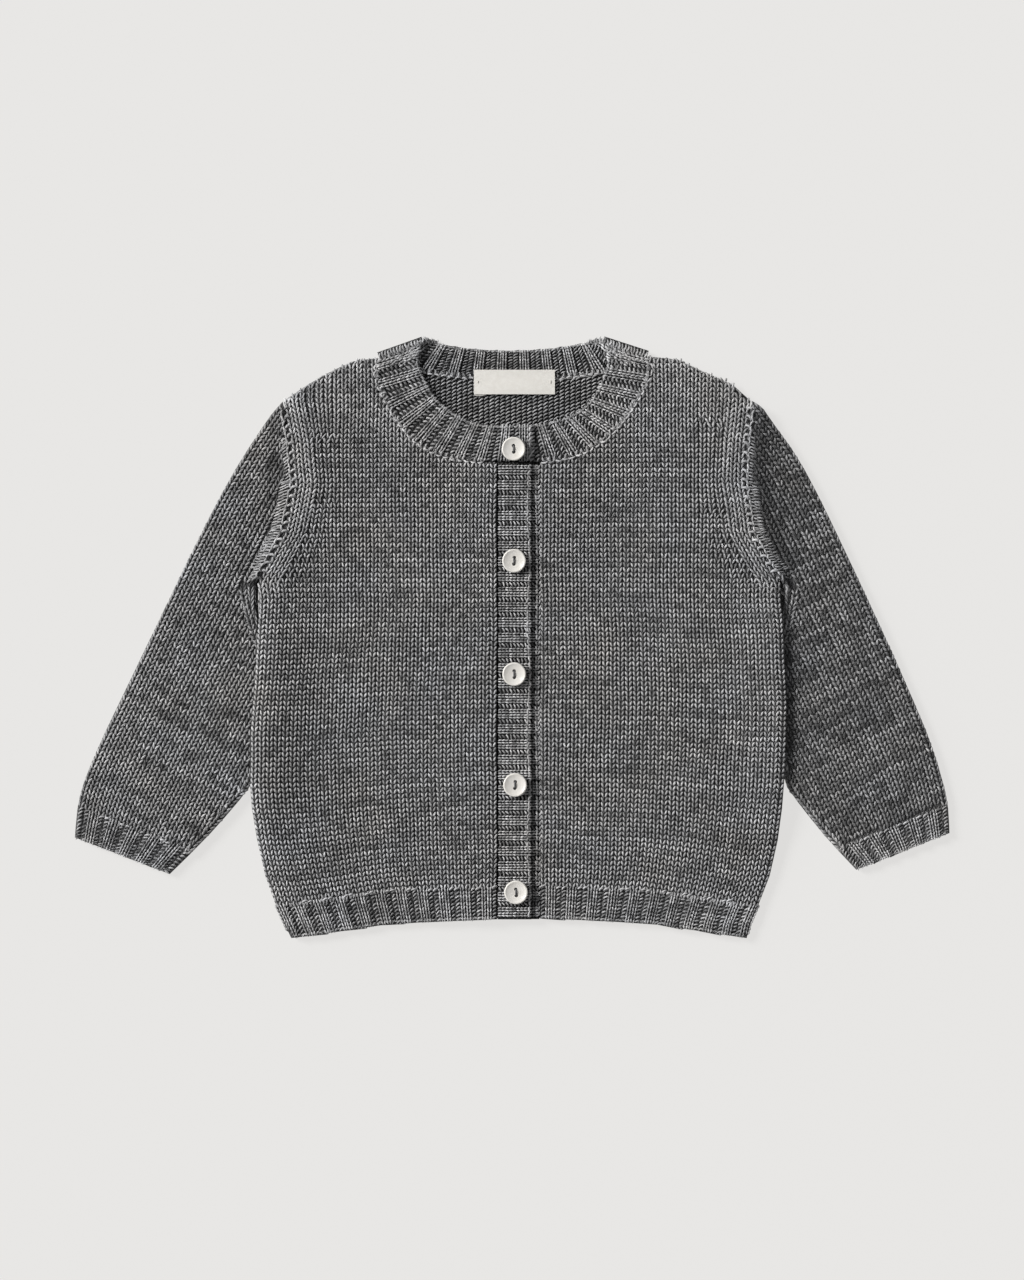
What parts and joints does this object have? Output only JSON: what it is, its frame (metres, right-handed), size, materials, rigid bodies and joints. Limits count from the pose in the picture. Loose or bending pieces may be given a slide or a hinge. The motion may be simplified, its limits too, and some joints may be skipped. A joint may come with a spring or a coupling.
{
  "type": "baby cardigan",
  "caption": "Long-sleeved knitted baby cardigan in grey marl, buttoned up and laid flat, with a round ribbed neck, ribbed hem and cuffs and a pearl-button front.",
  "frame": {"origin": "middle of the cardigan's outline, on the table that it lies on", "axes": "+X across it towards the wearer's left sleeve, +Y up towards the collar, +Z away from the table, out of the front"},
  "size_m": [0.438, 0.3013, 0.0111],
  "materials": {
    "knit": "matte stocking stitch in mid-grey marl yarn",
    "ribbon": "smooth woven ribbon, off-white",
    "pearl": "polished cream pearl with fine turned rings",
    "thread": "matte sewing thread, grey"
  },
  "bodies": {
    "root": {"back": "knit", "front_right": "knit", "front_left": "knit", "sleeve_right": "knit", "sleeve_left": "knit", "neckband": "knit", "buttonhole_band": "knit", "button_band": "knit", "label": "ribbon", "button_1": "pearl", "button_2": "pearl", "button_3": "pearl", "button_4": "pearl", "button_5": "pearl", "thread_1": "thread", "thread_2": "thread", "thread_3": "thread", "thread_4": "thread", "thread_5": "thread"}
  },
  "joints": []
}
